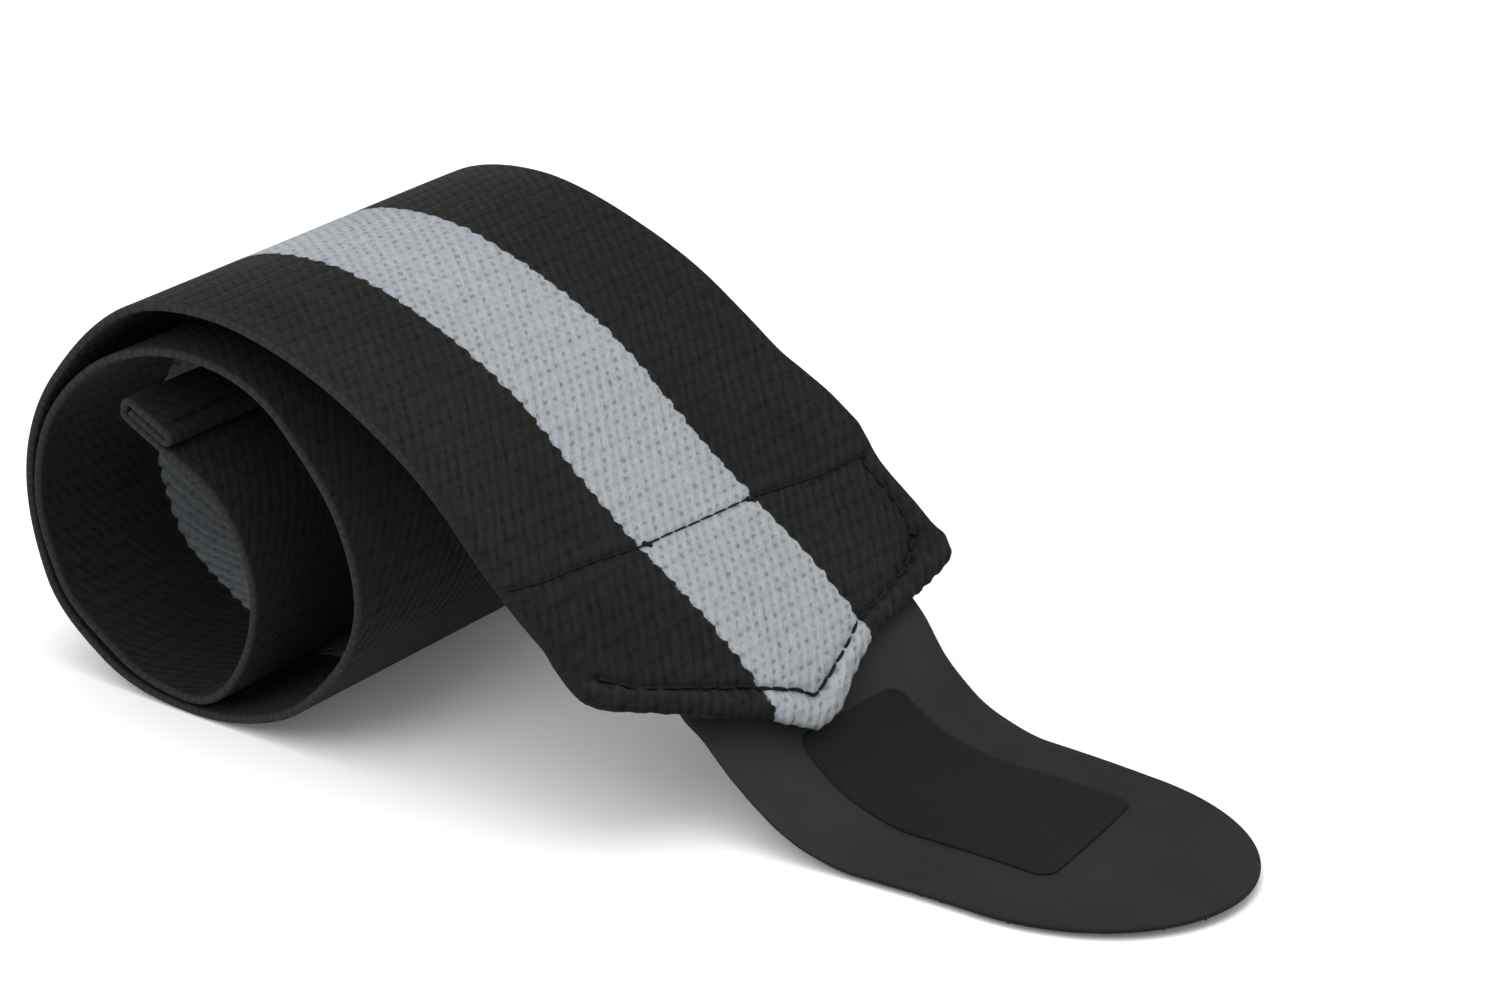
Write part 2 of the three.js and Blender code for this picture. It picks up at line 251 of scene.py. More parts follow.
def make_band():
    hem = hem_path()
    q_hem = np.array([r[0] for r in hem])
    main = np.r_[np.arange(3.0, 12.0, 1.0), np.arange(12.0, 396.0, 1.6), np.arange(396.0, TIP - 0.8, 0.52)]
    r_end = 0.62
    # columns across each face, closer together at the stripe's edges and over the seams
    inner = np.linspace(CLOTH / 2, WIDTH - CLOTH / 2, 87)
    arc = np.linspace(0, math.pi, 8)[1:-1]
    rim_far = [(WIDTH - CLOTH / 2 + CLOTH / 2 * math.sin(t), math.cos(t)) for t in arc]
    rim_near = [(CLOTH / 2 - CLOTH / 2 * math.sin(t), -math.cos(t)) for t in arc]
    y = np.r_[inner, [p[0] for p in rim_far], inner[::-1], [p[0] for p in rim_near]]
    side = np.r_[np.ones(len(inner)), [p[1] for p in rim_far], -np.ones(len(inner)), [p[1] for p in rim_near]]
    ring = len(y)
    co, flat, painted_relief_lights = [], [], []
    e = end_at(y)

    def row_at(s, thick, hem_point=None):
        """One ring: s per column, thickness share, and the hem's own middle line if given."""
        half = CLOTH / 2 * thick
        painted_relief_light = np.zeros(ring)
        if hem_point is None:
            off = side * half
            d_point, run_p = path_distance(s, y, POINT_SEAM)
            d_cross, run_c = path_distance(s, y, CROSS_SEAM)
            d_side, run_s = path_distance(s, y, SIDE_SEAM)
            slope = np.gradient(end_at(np.linspace(0, WIDTH, 400)), np.linspace(0, WIDTH, 400))
            c = 1 / np.sqrt(1 + np.interp(y, np.linspace(0, WIDTH, 400), slope) ** 2)
            edge = np.clip((e - s) * c, 0, 60)
            on = side > 0
            # turned-under strip between the seam and the edge: a low roll with puckers
            strip = np.clip(1 - np.abs(edge - 2.2) / 2.6, 0, 1)
            strip = strip * strip * (3 - 2 * strip) * np.clip((s - 436) / 6, 0, 1)
            ridge = np.exp(-((edge - 2.3) / 1.0) ** 2) * np.clip((s - 436) / 6, 0, 1)
            pucker = 0.5 + 0.5 * np.cos(2 * math.pi * run_p / 3.1)
            off = off + np.where(on, 1, -0.45) * (strip * (0.14 + 0.28 * pucker) + 0.30 * ridge) * thick
            # painted light per point on the outer face: painted highlight on the turned-under strip's ridge, beside
            # the cross seam and along the far selvedge near the point; painted shade in the seam grooves and along
            # the point's edge
            painted_relief_light = np.where(on, ridge * (0.65 + 0.35 * pucker) - 1.1 * np.exp(-(d_point / 0.9) ** 2)
                            - 0.75 * np.exp(-((edge - 0.2) / 0.6) ** 2) * np.clip((s - 436) / 6, 0, 1)
                            - 0.6 * np.exp(-(d_cross / 0.7) ** 2) - 0.6 * np.exp(-(d_side / 0.7) ** 2)
                            + 0.35 * np.exp(-((d_cross - 1.7) / 0.9) ** 2)
                            + 0.75 * np.exp(-((WIDTH - y - 1.1) / 0.7) ** 2) * np.clip((s - 429) / 3, 0, 1) * np.clip((451 - s) / 3, 0, 1), 0)
            painted_relief_lights.append(painted_relief_light)
            groove = lambda d, w: np.exp(-(d / w) ** 2)
            off = off - np.where(on, 1, -0.35) * (0.40 * groove(d_point, 0.75) + 0.26 * groove(d_cross, 0.65)
                                                  + 0.24 * groove(d_side, 0.6)) * thick
            # puckers that run off the seams into the cloth
            off = off + np.where(on, 1, 0.6) * (
                0.10 * np.exp(-(d_point / 3.0) ** 2) * np.cos(2 * math.pi * run_p / 3.1 + 1.1)
                + 0.05 * np.exp(-(d_cross / 2.6) ** 2) * np.cos(2 * math.pi * run_c / 3.4)
                + 0.09 * np.exp(-(d_side / 2.6) ** 2) * np.cos(2 * math.pi * run_s / 3.0))
            # slight ripple of the selvedges
            rim = np.exp(-np.minimum(y, WIDTH - y) / 3.5)
            off = off + 0.07 * rim * np.sin(s / 5.3 + np.where(y < 38, 0.7, 2.9)) * np.clip((s - 60) / 40, 0, 1)
            return band_xyz(s, y, off)
        painted_relief_lights.append(painted_relief_light)
        (x, z), (dx, dz) = hem_point
        off = side * half
        return np.stack([x - dz * off, y, z + dx * off], -1)

    # hem rows, in the plane of the route
    xa, za, nxa, nza = band_route.frame(np.array([r[1] for r in hem]))
    h = np.array([r[2] for r in hem])
    mid = np.stack([xa + nxa * h, za + nza * h], -1)
    nxt = np.stack(band_route.frame(3.0)[:2], -1)
    line = np.vstack([mid, nxt])
    g = np.gradient(line, axis=0)
    g /= np.hypot(*g.T)[:, None]
    ends = [(0.35, 0.0), (0.75, 0.06), (0.93, 0.25)]
    for share, ahead in ends:                       # raw edge, rounded
        p = mid[0] - g[0] * (0.5 - 2 * ahead * 0.5)
        co.append(row_at(None, share, (p, g[0])))
        flat.append(np.stack([np.full(ring, q_hem[0] - 0.5 + ahead), y, side], -1))
    for k in range(len(hem)):
        co.append(row_at(None, 1.0, (mid[k], g[k])))
        flat.append(np.stack([np.full(ring, q_hem[k]), y, side], -1))
    for s0 in main:
        s = np.full(ring, s0) if s0 <= WARP else WARP + (s0 - WARP) * (e - r_end - WARP) / (TIP - 0.8 - WARP)
        co.append(row_at(s, 1.0))
        flat.append(np.stack([s, y, side], -1))
    for t in (18, 36, 54, 72, 84):                  # rounded edge at the point
        a = math.radians(t)
        s = e - r_end + r_end * math.sin(a)
        co.append(row_at(s, math.cos(a)))
        flat.append(np.stack([s, y, side], -1))
    rows = len(co)
    faces = ring_faces(rows, ring).tolist()
    n, m = len(inner), len(arc)
    # close both ends: outer column j meets inner column j
    outer = list(range(n))
    under = [n + m + n - 1 - j for j in range(n)]
    for base, flip in ((0, False), ((rows - 1) * ring, True)):
        a = [base + outer[j] for j in range(n)]
        b = [base + under[j] for j in range(n)]
        for j in range(n - 1):
            quad = [a[j], b[j], b[j + 1], a[j + 1]]
            faces.append(quad[::-1] if flip else quad)
        far = [a[-1]] + [base + n + j for j in range(m)] + [b[-1]]
        near = [a[0]] + [base + 2 * n + m + (m - 1 - j) for j in range(m)] + [b[0]]
        faces.append(far if not flip else far[::-1])
        faces.append(near[::-1] if not flip else near)
    ob = build("wrap_band_cloth", np.concatenate(co), faces, np.concatenate(flat))
    # per-point painted highlight and painted shade, read by the woven material
    at = ob.data.attributes.new("painted_relief_light", "FLOAT", "POINT")
    at.data.foreach_set("value", np.concatenate(painted_relief_lights).astype(np.float32))
    # bake map: each face of the band in two strips
    q0, q1 = q_hem[0] - 1, TIP + 1
    cut = (q0 + q1) / 2
    fl = np.concatenate(flat)
    loops = np.empty(len(ob.data.loops), np.int64)
    ob.data.loops.foreach_get("vertex_index", loops)
    first = np.array([p.loop_start for p in ob.data.polygons])
    total = np.array([p.loop_total for p in ob.data.polygons])
    owner = np.repeat(np.arange(len(first)), total)
    face_s = np.bincount(owner, fl[loops, 0]) / total
    face_d = np.bincount(owner, fl[loops, 2]) / total
    down, late = (face_d < 0)[owner], (face_s > cut)[owner]
    pad, tall = 1.2, WIDTH + 4.0
    size = max(4 * tall, cut - q0 + 2 * pad)
    depth = np.clip(1 - np.abs(fl[loops, 2]), 0, 1) * 1.0        # unrolls the selvedge a little
    yy = fl[loops, 1] + np.where(fl[loops, 1] < 38, -depth, depth)
    uu = (fl[loops, 0] - np.where(late, cut, q0) + pad) / size
    vv = (yy + 2.0 + tall * (2 * down + late)) / size
    layer = ob.data.uv_layers.new(name="OFBake")
    layer.uv.foreach_set("vector", np.stack([uu, vv], -1).astype(np.float32).ravel())
    return ob


# --------------------------------------------------- flat pieces with an outline
def plate(name, outline, centre, place, top, under, steps, rim=5, crown=None, flat_of=None):
    """A thin plate with a rounded edge. outline is a closed run of (u, w); centre(point)
    is where its ray starts; place(u, w, off) gives the point in space."""
    o = np.array(outline, float)
    d = np.roll(o, -1, 0) - np.roll(o, 1, 0)
    nrm = np.stack([d[:, 1], -d[:, 0]], -1)
    nrm /= np.maximum(np.hypot(*nrm.T), 1e-9)[:, None]
    if np.sum(o[:, 0] * np.roll(o[:, 1], -1) - o[:, 1] * np.roll(o[:, 0], -1)) < 0:
        nrm = -nrm
    r = (top - under) / 2
    mid = (top + under) / 2
    inset = o - nrm * r * 0.9
    c = np.array([centre(p) for p in o], float)
    co, flat = [], []
    n = len(o)
    shares = [1 - (1 - k / steps) ** 1.0 for k in range(steps + 1)]
    layers = []
    for t in shares:
        p = c + (inset - c) * t
        layers.append((p, np.full(n, top), 1.0))
    for k in range(1, 2 * rim):
        a = math.pi * k / (2 * rim)
        p = inset + nrm * r * 0.9 * math.sin(a)
        layers.append((p, np.full(n, mid + r * math.cos(a)), math.cos(a)))
    for t in shares[::-1]:
        p = c + (inset - c) * t
        layers.append((p, np.full(n, under), -1.0))
    for p, off, face in layers:
        if crown is not None:
            off = off + crown(p[:, 0], p[:, 1], face)
        co.append(place(p[:, 0], p[:, 1], off))
        flat.append(np.stack([p[:, 0], p[:, 1], np.full(n, face)], -1))
    faces = []
    rows = len(layers)
    for i in range(rows - 1):
        for j in range(n):
            k = (j + 1) % n
            faces.append([i * n + j, (i + 1) * n + j, (i + 1) * n + k, i * n + k])
    co, flat = np.concatenate(co), np.concatenate(flat)
    # merge the doubled points on the centre line
    key = np.round(co * 2000).astype(np.int64)
    centre_ids = np.r_[np.arange(n), np.arange((rows - 1) * n, rows * n)]
    seen, remap = {}, np.arange(len(co))
    for i in centre_ids:
        remap[i] = seen.setdefault(tuple(key[i]), i)
    used = np.unique(remap)
    new = -np.ones(len(co), int)
    new[used] = np.arange(len(used))
    out = []
    done = set()
    for f in faces:
        g = []
        for v in (int(new[remap[i]]) for i in f):
            if not g or g[-1] != v:
                g.append(v)
        if len(g) > 1 and g[0] == g[-1]:
            g.pop()
        if len(g) >= 3 and len(set(g)) == len(g):
            k = tuple(sorted(g))
            if k not in done:
                done.add(k)
                out.append(g)
    ob = build(name, co[used], out, flat[used])
    return ob


def rounded(corners, radius, step=0.9):
    """Closed outline through corners with rounded corners, points about step apart."""
    pts = []
    c = [np.array(p, float) for p in corners]
    n = len(c)
    arcs = []
    for i in range(n):
        a, b, d = c[i - 1], c[i], c[(i + 1) % n]
        r = radius[i] if isinstance(radius, (list, tuple)) else radius
        u, w = (a - b) / np.hypot(*(a - b)), (d - b) / np.hypot(*(d - b))
        ang = math.acos(np.clip(np.dot(u, w), -1, 1))
        back = r / math.tan(ang / 2)
        p0, p1 = b + u * back, b + w * back
        bis = (u + w) / np.hypot(*(u + w))
        o = b + bis * r / math.sin(ang / 2)
        a0, a1 = math.atan2(*(p0 - o)[::-1]), math.atan2(*(p1 - o)[::-1])
        da = (a1 - a0 + math.pi) % (2 * math.pi) - math.pi
        k = max(3, int(abs(da) * r / step) + 2)
        arcs.append([o + r * np.array([math.cos(a0 + da * t), math.sin(a0 + da * t)]) for t in np.linspace(0, 1, k)])
    for i in range(n):
        pts += arcs[i]
        a, b = arcs[i][-1], arcs[(i + 1) % n][0]
        k = int(np.hypot(*(b - a)) / step)
        pts += [a + (b - a) * t for t in np.linspace(0, 1, k + 1)[1:-1]]
    return pts


def tab_outline():
    length = tab_route.length
    start = length - TAB_ROUND
    out = []
    half = lambda u: TAB_HALF - TAB_TAPER * min(max((u - 50) / (start - 50), 0), 1)
    corner = 2.0
    run = np.arange(corner + 0.9, start - 0.3, 0.9)
    for a in np.linspace(180, 270, 5):
        out.append((corner + corner * math.cos(math.radians(a)), TAB_Y - half(0) + corner + corner * math.sin(math.radians(a))))
    for u in run:
        out.append((u, TAB_Y - half(u)))
    for a in np.linspace(-90, 90, 83):
        out.append((start + TAB_ROUND * math.cos(math.radians(a)), TAB_Y + half(start) * math.sin(math.radians(a))))
    for u in run[::-1]:
        out.append((u, TAB_Y + half(u)))
    for a in np.linspace(90, 180, 5):
        out.append((corner + corner * math.cos(math.radians(a)), TAB_Y + half(0) - corner + corner * math.sin(math.radians(a))))
    for y in np.arange(TAB_Y + half(0) - corner - 0.9, TAB_Y - half(0) + corner, -0.9):
        out.append((0.0, y))
    return out


def edge_gap(u, y):
    """Distance from (u, y) to the tab's edge, about."""
    start = tab_route.length - TAB_ROUND
    half = TAB_HALF - TAB_TAPER * np.clip((u - 50) / (start - 50), 0, 1)
    w = np.abs(y - TAB_Y)
    e = np.clip((u - start) / TAB_ROUND, 0, 1)
    r = np.sqrt(e * e + (w / half) ** 2)
    inside = np.where(u > start, (1 - r) * (half * (1 - e) + TAB_ROUND * e), half - w)
    return np.minimum(inside, np.maximum(u, 0))


def tab_crown(u, y, face):
    gap = edge_gap(u, y)
    # sealed border: a shallow line 1.9 mm inside the edge, the border itself pressed thin
    line = -0.13 * np.exp(-((gap - 1.9) / 0.38) ** 2) - 0.07 * np.clip(1 - gap / 1.7, 0, 1)
    wave = 0.08 * np.sin(u / 7.1 + 0.4) * np.sin(y / 6.3 + 1.0) * np.clip((gap - 1) / 6, 0, 1) * np.clip((u - 40) / 10, 0, 1)
    wave += 0.10 * np.exp(-((u - 52 - (y - TAB_Y) * 0.25) / 4.0) ** 2) * np.clip((gap - 0.5) / 4, 0, 1)
    if face > 0.5:
        return line + wave
    return 0.6 * wave


def make_tab():
    length = tab_route.length
    centre = lambda p: (min(max(p[0], 16.0), length - 27.0), TAB_Y)
    return plate("hook_tab_tape", tab_outline(), centre, tab_xyz, TAPE_TOP, TAPE_UNDER, 24, 4, tab_crown)


def make_hooks():
    """Rows of small bent hooks under the tape."""
    length = tab_route.length
    co, faces = [], []
    sides, bends = 4, [(0.0, 0.06), (0.02, -0.22), (0.06, -0.42), (0.19, -0.57), (0.36, -0.60), (0.47, -0.48), (0.44, -0.36)]
    ring = [(math.cos(a), math.sin(a)) for a in (math.pi / 4 + math.pi / 2 * k for k in range(sides))]
    spots = []
    for i, u in enumerate(np.arange(1.6, length - 1.2, 1.62)):
        for y in np.arange(TAB_Y - TAB_HALF + 1.3 + (0.7 if i % 2 else 0), TAB_Y + TAB_HALF, 1.4):
            if edge_gap(np.array(u), np.array(y)) > 1.25:
                spots.append((u, y, 1 if i % 2 else -1))
    for u, y, way in spots:
        start = len(co)
        x, z, nx, nz = (float(a) for a in tab_route.frame(u))
        base = tab_xyz(u, y, TAPE_UNDER)
        t = np.array([nz, 0, -nx])
        n = np.array([nx, 0, nz])
        b = np.array([0, 1, 0])
        yaw = RNG.uniform(-0.25, 0.25)
        f = math.cos(yaw) * t * way + math.sin(yaw) * b
        g = np.cross(n, f)
        for k, (a, h) in enumerate(bends):
            p = base + f * a + n * (h - 0.06 + 0.0)
            q0, q1 = bends[max(k - 1, 0)], bends[min(k + 1, len(bends) - 1)]
            d = np.array([q1[0] - q0[0], q1[1] - q0[1]])
            d /= np.hypot(*d)
            e = f * -d[1] + n * d[0]
            r = (0.15, 0.12, 0.11, 0.11, 0.11, 0.09, 0.05)[k]
            for ca, sa in ring:
                co.append(p + (e * ca + g * sa) * r)
        for k in range(len(bends) - 1):
            for j in range(sides):
                m = (j + 1) % sides
                a = start + k * sides
                faces.append([a + j, a + m, a + sides + m, a + sides + j])
        a = start + (len(bends) - 1) * sides
        faces.append([a + j for j in range(sides)])
        faces.append([start + j for j in range(sides)][::-1])
    co = np.array(co)
    flat = np.zeros_like(co)
    return build("hook_tab_hooks", co, faces, flat)


def make_patch():
    pts = [(u, TAB_Y + w) for u, w, r in PATCH]
    out = rounded(pts, [r for u, w, r in PATCH], 0.8)
    mid_y = TAB_Y + 1.6
    centre = lambda p: (59.0, mid_y)

    def crown(u, y, face):
        # follows the tape, slightly crowned
        a = np.clip((u - 36.6) / 44, 0, 1)
        return (0.05 if face > 0.5 else 0.0) * np.sin(math.pi * a) + tab_crown(u, y, 1.0) * 0.7
    return plate("blank_patch_plate", out, centre, tab_xyz, TAPE_TOP + 0.30, TAPE_TOP + 0.03, 26, 4, crown)


# -------------------------------------------------------------------- strap
def make_strap():
    fx, fz, nx, nz = (float(a) for a in band_route.frame(STRAP_AT))
    tx, tz = nz, -nx
    rows = 150
    inner = np.linspace(-STRAP_WIDTH / 2 + STRAP / 2, STRAP_WIDTH / 2 - STRAP / 2, 19)
    arc = np.linspace(0, math.pi, 7)[1:-1]
    edge = STRAP_WIDTH / 2 - STRAP / 2
    t = np.r_[inner, [edge + STRAP / 2 * math.sin(a) for a in arc], inner[::-1], [-edge - STRAP / 2 * math.sin(a) for a in arc]]
    o = np.r_[np.ones(19), np.cos(arc), -np.ones(19), -np.cos(arc)]
    ring = len(t)
    co, flat = [], []
    ribs = np.where(np.abs(o) > 0.99, 0.045 * np.cos(2 * math.pi * t / 1.37), 0)
    stops = [(0.0, 0.3), (0.12, 0.7), (0.4, 0.95)] + [(s, 1.0) for s in np.linspace(0.8, loop_route.length - 0.8, rows)] + \
            [(loop_route.length - 0.4, 0.95), (loop_route.length - 0.12, 0.7), (loop_route.length, 0.3)]
    for s, share in stops:
        y, n, ny, nn = (float(a) for a in loop_route.frame(s))
        off = (o * STRAP / 2 + np.sign(o) * ribs) * share
        # edges curl a little on the free stretch
        free = math.exp(-((s - loop_route.length / 2) / 26) ** 2)
        cup = -0.35 * free * (2 * t / STRAP_WIDTH) ** 2
        yy = y + ny * (off + cup)
        hh = n + nn * (off + cup)
        co.append(np.stack([fx + tx * t + nx * hh, yy, fz + tz * t + nz * hh], -1))
        flat.append(np.stack([np.full(ring, s), t + STRAP_WIDTH / 2, o], -1))
    faces = ring_faces(len(stops), ring).tolist()
    last = (len(stops) - 1) * ring
    faces.append(list(range(ring))[::-1])
    faces.append([last + j for j in range(ring)])
    return build("thumb_loop_strap", np.concatenate(co), faces, np.concatenate(flat))


# ------------------------------------------------------------------ stitches
def tube(co, faces, pts, radii, sides=6):
    """Adds a closed tube along pts."""
    pts = np.array(pts)
    start = len(co)
    d = np.gradient(pts, axis=0)
    d /= np.linalg.norm(d, axis=1)[:, None]
    up = np.array([0.0, 0.0, 1.0]) if abs(d[0][2]) < 0.9 else np.array([1.0, 0, 0])
    for p, t, r in zip(pts, d, radii):
        a = np.cross(t, up)
        a /= np.linalg.norm(a)
        b = np.cross(t, a)
        for k in range(sides):
            w = 2 * math.pi * k / sides
            co.append(p + (a * math.cos(w) + b * math.sin(w)) * r)
    n = len(pts)
    for i in range(n - 1):
        for k in range(sides):
            m = (k + 1) % sides
            faces.append([start + i * sides + k, start + i * sides + m, start + (i + 1) * sides + m, start + (i + 1) * sides + k])
    faces.append([start + k for k in range(sides)][::-1])
    faces.append([start + (n - 1) * sides + k for k in range(sides)])


def stitches(name, runs, pitch, gap, radius, wander=0.0):
    """Raised stitches along runs of points: each run is a function of length in mm and its length."""
    co, faces = [], []
    for at, length in runs:
        count = max(1, int(round(length / pitch)))
        step = length / count
        for i in range(count):
            a, b = i * step + gap / 2, (i + 1) * step - gap / 2
            w0, w1 = RNG.uniform(-wander, wander), RNG.uniform(-wander, wander)
            pts, radii = [], []
            for k in range(8):
                t = k / 7
                lift = -0.20 + 0.42 * math.sin(math.pi * t) ** 0.5
                pts.append(at(a + (b - a) * t, lift * radius * 2.2, w0 * (1 - t) + w1 * t))
                radii.append(radius * (0.62 + 0.38 * math.sin(math.pi * t) ** 0.5))
            tube(co, faces, pts, radii)
    co = np.array(co)
    return build(name, co, faces, np.zeros_like(co))


def seam_run(seam, height):
    """Points over the band's outer face along a seam."""
    p = np.array([(a, b * WIDTH) for a, b in seam], float)
    l = np.r_[0, np.cumsum(np.hypot(*np.diff(p, axis=0).T))]

    def at(s, lift, side=0.0):
        a, y = np.interp(s, l, p[:, 0]), np.interp(s, l, p[:, 1])
        return band_xyz(a + side, y, CLOTH / 2 + height + lift).reshape(3)
    return at, l[-1]


def hem_run(a, height, y0, y1):
    def at(s, lift, side=0.0):
        x, z, nx, nz = (float(q) for q in band_route.frame(a + side))
        h = height + lift
        return np.array([x + nx * h, y0 + s, z + nz * h])
    return at, y1 - y0


def strap_run(y, t0, t1, n):
    fx, fz, nx, nz = (float(a) for a in band_route.frame(STRAP_AT))
    tx, tz = nz, -nx

    def at(s, lift, side=0.0):
        t = t0 + (t1 - t0) * s / abs(t1 - t0)
        h = n + lift
        return np.array([fx + tx * t + nx * h, y + side, fz + tz * t + nz * h])
    return at, abs(t1 - t0)


# ----------------------------------------------------------------- materials
class Nodes:
    def __init__(self, name):
        self.m = bpy.data.materials.new(name)
        self.m.use_nodes = True
        self.t = self.m.node_tree
        self.out = self.t.nodes["Material Output"]
        self.bsdf = self.t.nodes["Principled BSDF"]

    def add(self, kind, **props):
        n = self.t.nodes.new(kind)
        for k, v in props.items():
            setattr(n, k, v)
        return n

    def put(self, socket, value):
        if isinstance(value, bpy.types.NodeSocket):
            self.t.links.new(value, socket)
        elif value is not None:
            if socket.type == "VECTOR" and len(value) == 4:
                value = value[:3]
            socket.default_value = value

    def op(self, kind, a, b=None, c=None, clamp=False):
        n = self.add("ShaderNodeMath", operation=kind, use_clamp=clamp)
        for s, v in zip(n.inputs, (a, b, c)):
            self.put(s, v)
        return n.outputs[0]

    def mul(self, a, b): return self.op("MULTIPLY", a, b)
    def plus(self, a, b): return self.op("ADD", a, b)
    def less(self, a, b): return self.op("SUBTRACT", a, b)

    def attr(self, name):
        n = self.add("ShaderNodeAttribute", attribute_name=name, attribute_type="GEOMETRY")
        x = self.add("ShaderNodeSeparateXYZ")
        self.t.links.new(n.outputs["Vector"], x.inputs[0])
        return n.outputs["Vector"], x.outputs[0], x.outputs[1], x.outputs[2]

    def join(self, x, y, z=0.0):
        n = self.add("ShaderNodeCombineXYZ")
        for s, v in zip(n.inputs, (x, y, z)):
            self.put(s, v)
        return n.outputs[0]

    def noise(self, vector, scale, detail=2.0, rough=0.5, distortion=0.0):
        n = self.add("ShaderNodeTexNoise", noise_dimensions="3D")
        self.put(n.inputs["Vector"], vector)
        n.inputs["Scale"].default_value = scale
        n.inputs["Detail"].default_value = detail
        n.inputs["Roughness"].default_value = rough
        n.inputs["Distortion"].default_value = distortion
        return n.outputs["Fac"]

    def step(self, x, lo, hi, a=0.0, b=1.0, smooth=True):
        n = self.add("ShaderNodeMapRange", interpolation_type="SMOOTHSTEP" if smooth else "LINEAR", clamp=True)
        for s, v in zip((n.inputs[0], n.inputs[1], n.inputs[2], n.inputs[3], n.inputs[4]), (x, lo, hi, a, b)):
            self.put(s, v)
        return n.outputs[0]

    def mix(self, t, a, b):
        n = self.add("ShaderNodeMix", data_type="RGBA")
        self.put(n.inputs[0], t)
        for s, v in ((n.inputs[6], a), (n.inputs[7], b)):
            self.put(s, v)
        return n.outputs[2]

    def scale(self, colour, k):
        n = self.add("ShaderNodeVectorMath", operation="SCALE")
        self.put(n.inputs[0], colour)
        self.put(n.inputs["Scale"], k)
        return n.outputs[0]

    def bump(self, height, distance, strength=1.0):
        n = self.add("ShaderNodeBump")
        n.inputs["Distance"].default_value = distance
        n.inputs["Strength"].default_value = strength
        self.put(n.inputs["Height"], height)
        self.t.links.new(n.outputs[0], self.bsdf.inputs["Normal"])

    def finish(self, colour, rough, **fixed):
        self.put(self.bsdf.inputs["Base Color"], colour)
        self.put(self.bsdf.inputs["Roughness"], rough)
        for k, v in fixed.items():
            self.bsdf.inputs[k.replace("_", " ")].default_value = v
        return self.m


def rgb(v, w=None, u=None):
    """sRGB bytes to a linear colour."""
    w, u = (v if w is None else w), (v if u is None else u)
    f = lambda c: (c / 255 / 12.92) if c <= 10 else ((c / 255 + 0.055) / 1.055) ** 2.4
    return (f(v), f(w), f(u), 1.0)


